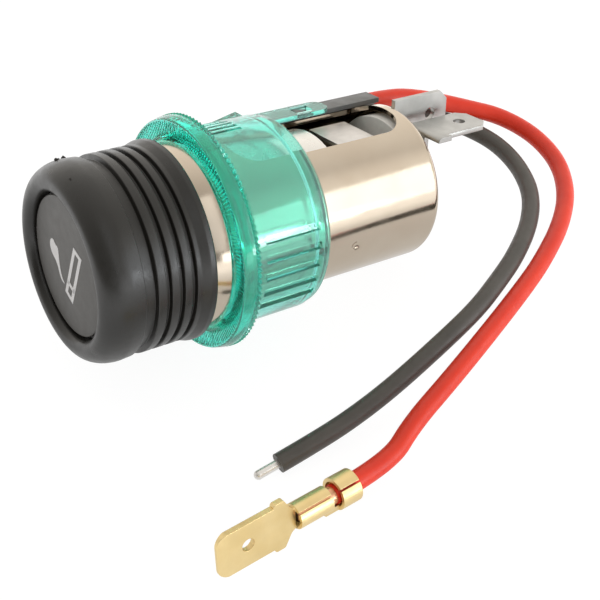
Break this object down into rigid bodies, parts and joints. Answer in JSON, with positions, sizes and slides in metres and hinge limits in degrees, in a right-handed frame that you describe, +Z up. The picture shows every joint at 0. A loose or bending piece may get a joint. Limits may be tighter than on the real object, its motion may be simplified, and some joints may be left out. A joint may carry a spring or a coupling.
{
  "type": "car cigarette lighter",
  "caption": "Dash cigarette lighter: metal socket in a translucent light ring with a lamp on two leads, blade terminals and a pull-out plug with a spring-loaded knob.",
  "frame": {"origin": "middle of the lying lighter's footprint, on the floor", "axes": "+Z up, +Y along the socket from the knob to the terminals (the axis leans 8.5 degrees down to the rear), +X to the side where the leads lie"},
  "size_m": [0.056, 0.0837, 0.0318],
  "materials": {
    "nickel": "nickel plated drawn steel",
    "green_plastic": "translucent moulded plastic",
    "black_plastic": "fine satin moulding",
    "face_plastic": "satin disc",
    "tinned_steel": "tinned and rolled",
    "bimetal": "bare rolled strip",
    "steel": "bright zinc",
    "brass": "stamped brass",
    "insulator": "pale pressed insulation",
    "ceramic": "fired ceramic",
    "resistance_strip": "oxidised strip",
    "spring_steel": "drawn wire",
    "lamp_glass": "clear glass",
    "red_pvc": "soft sheath",
    "black_pvc": "soft sheath",
    "copper": "bare strands"
  },
  "bodies": {
    "socket": {"socket_shell": "nickel", "light_ring": "green_plastic", "lamp_holder": "black_plastic", "lamp_bulb": "lamp_glass", "lamp_leads": "tinned_steel", "inner_insulator": "insulator", "outer_insulator": "insulator", "bimetal_clip": "bimetal", "contact_stud": "brass", "stud_nut": "steel", "live_blade": "tinned_steel", "earth_blade": "tinned_steel", "red_wire": "red_pvc", "black_wire": "black_pvc", "red_wire_core": "copper", "black_wire_core": "tinned_steel", "tab_terminal": "brass"},
    "plug": {"plug_sleeve": "nickel", "return_spring": "spring_steel"},
    "knob": {"knob": "black_plastic", "face_disc": "face_plastic", "stem": "steel", "element_cup": "nickel", "element_ceramic": "ceramic", "heating_coil": "resistance_strip"}
  },
  "joints": [
    {"name": "plug_pull", "type": "slide", "parent": "socket", "child": "plug", "axis": [0, -0.9889, 0.1484], "range_m": [0, 0.045]},
    {"name": "knob_push", "type": "slide", "parent": "plug", "child": "knob", "axis": [0, 0.9889, -0.1484], "range_m": [0, 0.0023], "stiffness_N_per_m": 500, "springref_m": -0.008, "deforming": ["return_spring"]}
  ]
}
